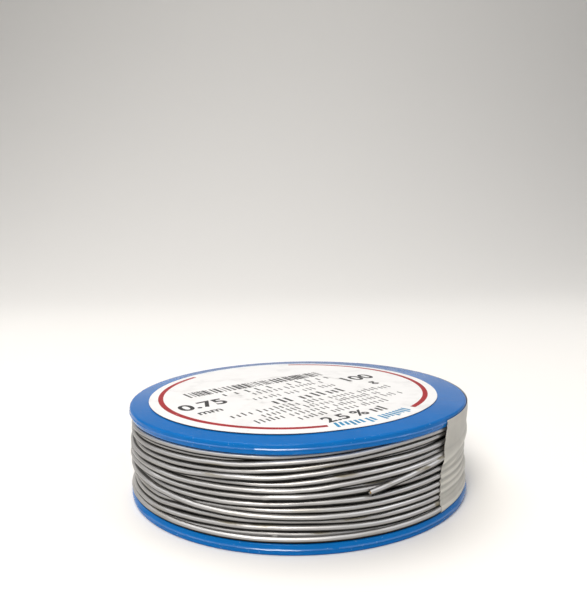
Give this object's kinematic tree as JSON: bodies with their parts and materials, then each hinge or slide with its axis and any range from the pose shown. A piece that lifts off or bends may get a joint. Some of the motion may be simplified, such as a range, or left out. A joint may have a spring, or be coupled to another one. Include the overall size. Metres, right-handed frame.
{
  "type": "solder wire spool",
  "caption": "Small moulded spool of flux-cored solder wire, lying flat, with a round face label over its bore and tape that holds the free end of the wire.",
  "frame": {"origin": "centre of the underside of the lower flange, which the spool lies on", "axes": "+Z along the spool's axis, up through the label; the front, with the free end of the wire, is -Y, and +X is to its right"},
  "size_m": [0.0491, 0.049, 0.0134],
  "materials": {
    "spool_plastic": "moulded, satin gloss, scuffed",
    "solder": "soft drawn tin-lead wire",
    "flux": "rosin flux",
    "label_paper": "coated paper, printed",
    "tape_film": "matte translucent film"
  },
  "bodies": {
    "root": {"spool": "spool_plastic", "inner_turns": "solder", "outer_turns": "solder", "free_wire_end": "solder", "flux_core": "flux", "wire_start": "solder", "face_label": "label_paper", "holding_tape": "tape_film"}
  },
  "joints": []
}
